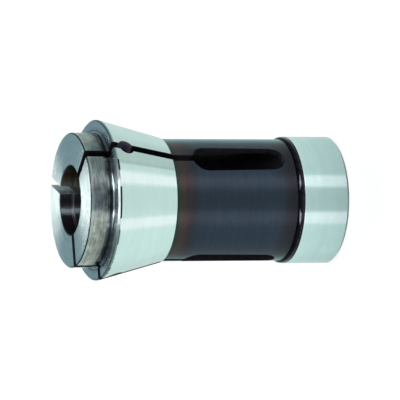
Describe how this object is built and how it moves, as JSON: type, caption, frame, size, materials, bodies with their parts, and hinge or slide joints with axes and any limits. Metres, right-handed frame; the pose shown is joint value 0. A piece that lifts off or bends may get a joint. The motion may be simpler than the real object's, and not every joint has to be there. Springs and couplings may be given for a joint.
{
  "type": "spring collet",
  "caption": "One-piece slit steel collet: plain gripping bore in an extended nose, 15 degree clamping taper, slim sprung tube with long windows and a ground rear guide.",
  "frame": {"origin": "on the axis, in the plane of the rear end face that the collet stands on", "axes": "+Z along the axis from the rear end towards the nose; the first slot, window and cross hole point along -Y"},
  "size_m": [0.06, 0.06, 0.1026],
  "materials": {
    "collet_steel": "hardened spring steel, ground bright on the taper and the rear guide, turned on the nose, and blackened on the tube, slots and bores"
  },
  "bodies": {
    "root": {"collet_body": "collet_steel"}
  },
  "joints": []
}
